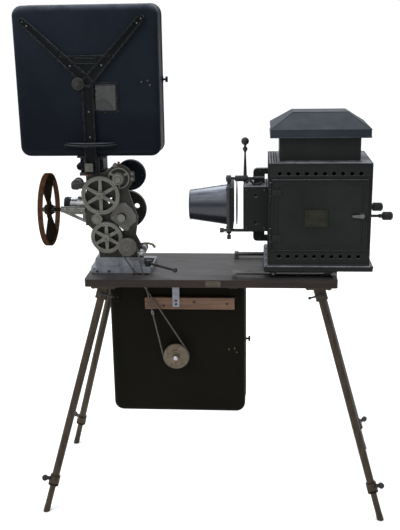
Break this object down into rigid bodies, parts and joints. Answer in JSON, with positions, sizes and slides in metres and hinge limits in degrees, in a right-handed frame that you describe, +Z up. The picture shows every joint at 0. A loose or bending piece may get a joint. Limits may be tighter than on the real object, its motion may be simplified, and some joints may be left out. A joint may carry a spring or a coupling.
{
  "type": "film projector on table stand",
  "caption": "Early hand-driven film projector with open gear train, two square film magazines, arc lamphouse with condenser cone, on a board with splayed telescopic legs.",
  "frame": {"origin": "on the floor, under the middle of the whole outfit", "axes": "+X from the lens towards the lamphouse, +Y away from the gear side towards the magazine doors, +Z up"},
  "size_m": [1.0598, 0.4432, 1.442],
  "materials": {
    "dark_wood": "worn varnish",
    "red_wood": "satin varnish",
    "leg_steel": "browned, worn",
    "bright_steel": "dull nickel",
    "black_enamel": "gloss enamel",
    "window_glass": "clear",
    "lens_glass": "clear",
    "reel_steel": "dull",
    "frame_enamel": "satin grey enamel",
    "gear_iron": "machined grey",
    "worn_steel": "dark, oiled",
    "nickel": "nickel plate",
    "shutter_paint": "satin red-brown paint",
    "belt_leather": "oiled",
    "cone_zinc": "satin blue-grey",
    "lamp_iron": "heat-browned",
    "knob_black": "satin"
  },
  "bodies": {
    "stand": {"table_board": "dark_wood", "upper_leg_front_left": "leg_steel", "upper_leg_front_right": "leg_steel", "upper_leg_back_left": "leg_steel", "upper_leg_back_right": "leg_steel", "lower_magazine_case": "black_enamel", "hanger_strap": "bright_steel", "hanger_batten": "red_wood", "hanger_bolts": "bright_steel", "upper_magazine_case": "black_enamel", "magazine_window": "window_glass", "magazine_bracket": "black_enamel", "fire_trap": "black_enamel", "head_base": "frame_enamel", "main_frame": "frame_enamel", "gate_plate": "bright_steel", "shutter_bracket": "frame_enamel", "film_guard": "black_enamel", "front_rail": "bright_steel", "back_rail": "bright_steel", "takeup_belt": "belt_leather"},
    "lower_leg_front_left": {"lower_leg_front_left": "leg_steel"},
    "leg_screw_front_left": {"leg_screw_front_left": "bright_steel"},
    "lower_leg_front_right": {"lower_leg_front_right": "leg_steel"},
    "leg_screw_front_right": {"leg_screw_front_right": "bright_steel"},
    "lower_leg_back_left": {"lower_leg_back_left": "leg_steel"},
    "leg_screw_back_left": {"leg_screw_back_left": "bright_steel"},
    "lower_leg_back_right": {"lower_leg_back_right": "leg_steel"},
    "leg_screw_back_right": {"leg_screw_back_right": "bright_steel"},
    "upper_magazine_door": {"upper_magazine_door": "black_enamel"},
    "lower_magazine_door": {"lower_magazine_door": "black_enamel"},
    "supply_reel": {"supply_reel": "reel_steel"},
    "main_gear": {"main_gear": "gear_iron"},
    "idler_gear": {"idler_gear": "gear_iron"},
    "lower_gear": {"lower_gear": "gear_iron"},
    "governor_wheel": {"governor_wheel": "gear_iron"},
    "belt_pulley": {"belt_pulley": "worn_steel"},
    "flywheel": {"flywheel": "black_enamel"},
    "takeup": {"takeup_pulley": "worn_steel", "takeup_reel": "reel_steel"},
    "intermittent_sprocket": {"intermittent_sprocket": "bright_steel"},
    "shutter_wheel": {"shutter_wheel": "shutter_paint"},
    "gate_door": {"gate_door": "gear_iron"},
    "lens_barrel": {"lens_barrel": "nickel"},
    "framing_lever": {"framing_lever": "bright_steel"},
    "guide_roller": {"guide_roller": "bright_steel"},
    "pad_roller": {"pad_roller": "worn_steel"},
    "lamphouse": {"lamphouse_base": "black_enamel", "lamphouse_shell": "black_enamel", "chimney": "black_enamel", "roof": "black_enamel", "condenser_box": "black_enamel", "condenser_lenses": "lens_glass", "light_cone": "cone_zinc", "arc_lamp": "lamp_iron"},
    "lamphouse_door": {"lamphouse_door": "black_enamel"},
    "lamp_door_handle": {"lamp_door_handle": "nickel"},
    "dowser": {"dowser": "worn_steel"},
    "short_control": {"short_control": "knob_black"},
    "long_control": {"long_control": "knob_black"}
  },
  "joints": [
    {"name": "leg_extend_front_left", "type": "slide", "parent": "stand", "child": "lower_leg_front_left", "axis": [-0.2645, -0.1407, -0.9541], "range_m": [-0.06, 0.2]},
    {"name": "leg_screw_turn_front_left", "type": "hinge", "parent": "stand", "child": "leg_screw_front_left", "pos_m": [-0.44832, -0.19723, 0.10018], "axis": [-0.8423, -0.448, 0.2996], "range_deg": [0, 360]},
    {"name": "leg_extend_front_right", "type": "slide", "parent": "stand", "child": "lower_leg_front_right", "axis": [0.2645, -0.1407, -0.9541], "range_m": [-0.06, 0.2]},
    {"name": "leg_screw_turn_front_right", "type": "hinge", "parent": "stand", "child": "leg_screw_front_right", "pos_m": [0.47812, -0.19723, 0.10018], "axis": [0.8423, -0.448, 0.2996], "range_deg": [0, 360]},
    {"name": "leg_extend_back_left", "type": "slide", "parent": "stand", "child": "lower_leg_back_left", "axis": [-0.2645, 0.1407, -0.9541], "range_m": [-0.06, 0.2]},
    {"name": "leg_screw_turn_back_left", "type": "hinge", "parent": "stand", "child": "leg_screw_back_left", "pos_m": [-0.44832, 0.19723, 0.10018], "axis": [-0.8423, 0.448, 0.2996], "range_deg": [0, 360]},
    {"name": "leg_extend_back_right", "type": "slide", "parent": "stand", "child": "lower_leg_back_right", "axis": [0.2645, 0.1407, -0.9541], "range_m": [-0.06, 0.2]},
    {"name": "leg_screw_turn_back_right", "type": "hinge", "parent": "stand", "child": "leg_screw_back_right", "pos_m": [0.47812, 0.19723, 0.10018], "axis": [0.8423, 0.448, 0.2996], "range_deg": [0, 360]},
    {"name": "upper_door_hinge", "type": "hinge", "parent": "stand", "child": "upper_magazine_door", "pos_m": [-0.5254, 0.029, 1.238], "axis": [0, 0, 1], "range_deg": [0, 110]},
    {"name": "lower_door_hinge", "type": "hinge", "parent": "stand", "child": "lower_magazine_door", "pos_m": [-0.2914, 0.029, 0.46], "axis": [0, 0, 1], "range_deg": [0, 60]},
    {"name": "supply_reel_spin", "type": "hinge", "parent": "stand", "child": "supply_reel", "pos_m": [-0.3431, -0.005, 1.235], "axis": [0, 1, 0], "continuous": true},
    {"name": "main_gear_spin", "type": "hinge", "parent": "stand", "child": "main_gear", "pos_m": [-0.2951, -0.057, 0.926], "axis": [0, 1, 0], "continuous": true},
    {"name": "idler_spin", "type": "hinge", "parent": "stand", "child": "idler_gear", "pos_m": [-0.30827, -0.057, 0.85827], "axis": [0, 1, 0], "continuous": true},
    {"name": "lower_gear_spin", "type": "hinge", "parent": "stand", "child": "lower_gear", "pos_m": [-0.28291, -0.057, 0.80389], "axis": [0, 1, 0], "continuous": true},
    {"name": "governor_spin", "type": "hinge", "parent": "stand", "child": "governor_wheel", "pos_m": [-0.24271, -0.057, 0.97317], "axis": [0, 1, 0], "continuous": true},
    {"name": "belt_pulley_spin", "type": "hinge", "parent": "stand", "child": "belt_pulley", "pos_m": [-0.22171, -0.057, 0.77916], "axis": [0, 1, 0], "continuous": true},
    {"name": "flywheel_spin", "type": "hinge", "parent": "stand", "child": "flywheel", "pos_m": [-0.23858, -0.057, 0.86063], "axis": [0, 1, 0], "continuous": true},
    {"name": "takeup_spin", "type": "hinge", "parent": "stand", "child": "takeup", "pos_m": [-0.0901, -0.057, 0.448], "axis": [0, 1, 0], "continuous": true},
    {"name": "intermittent_spin", "type": "hinge", "parent": "stand", "child": "intermittent_sprocket", "pos_m": [-0.3181, -0.057, 0.846], "axis": [0, 1, 0], "continuous": true},
    {"name": "shutter_spin", "type": "hinge", "parent": "stand", "child": "shutter_wheel", "pos_m": [-0.4491, -0.053, 0.882], "axis": [1, 0, 0], "continuous": true},
    {"name": "gate_door_hinge", "type": "hinge", "parent": "stand", "child": "gate_door", "pos_m": [-0.3261, -0.039, 0.886], "axis": [0, 0, 1], "range_deg": [-75, 0]},
    {"name": "lens_focus", "type": "slide", "parent": "stand", "child": "lens_barrel", "axis": [1, 0, 0], "range_m": [-0.012, 0.0015]},
    {"name": "framing_lever_turn", "type": "hinge", "parent": "stand", "child": "framing_lever", "pos_m": [-0.1691, -0.055, 0.72], "axis": [0, 0, 1], "range_deg": [-15, 20]},
    {"name": "guide_roller_spin", "type": "hinge", "parent": "stand", "child": "guide_roller", "pos_m": [-0.1871, -0.005, 0.755], "axis": [0, 1, 0], "continuous": true},
    {"name": "pad_roller_spin", "type": "hinge", "parent": "stand", "child": "pad_roller", "pos_m": [-0.3731, -0.005, 0.948], "axis": [0, 1, 0], "continuous": true},
    {"name": "lamphouse_slide", "type": "slide", "parent": "stand", "child": "lamphouse", "axis": [1, 0, 0], "range_m": [-0.085, 0]},
    {"name": "lamphouse_door_hinge", "type": "hinge", "parent": "lamphouse", "child": "lamphouse_door", "pos_m": [0.1819, -0.11755, 0.879], "axis": [0, 0, 1], "range_deg": [-110, 0]},
    {"name": "lamp_door_handle_turn", "type": "hinge", "parent": "lamphouse_door", "child": "lamp_door_handle", "pos_m": [0.4309, -0.1153, 0.879], "axis": [0, 1, 0], "range_deg": [0, 90]},
    {"name": "dowser_swing", "type": "hinge", "parent": "lamphouse", "child": "dowser", "pos_m": [0.0874, -0.005, 0.962], "axis": [1, 0, 0], "range_deg": [0, 70]},
    {"name": "short_control_turn", "type": "hinge", "parent": "lamphouse", "child": "short_control", "pos_m": [0.4549, -0.025, 0.884], "axis": [1, 0, 0], "continuous": true},
    {"name": "long_control_turn", "type": "hinge", "parent": "lamphouse", "child": "long_control", "pos_m": [0.4549, -0.005, 0.853], "axis": [1, 0, 0], "continuous": true}
  ],
  "couplings": [
    {"joint": "idler_spin", "follows": "main_gear_spin", "ratio": -3.6},
    {"joint": "lower_gear_spin", "follows": "main_gear_spin", "ratio": 1.2},
    {"joint": "governor_spin", "follows": "main_gear_spin", "ratio": -3.2727},
    {"joint": "belt_pulley_spin", "follows": "main_gear_spin", "ratio": -2.5714},
    {"joint": "flywheel_spin", "follows": "main_gear_spin", "ratio": -1.68},
    {"joint": "takeup_spin", "follows": "main_gear_spin", "ratio": 1.7375},
    {"joint": "intermittent_spin", "follows": "main_gear_spin", "ratio": 2},
    {"joint": "shutter_spin", "follows": "main_gear_spin", "ratio": 8}
  ]
}
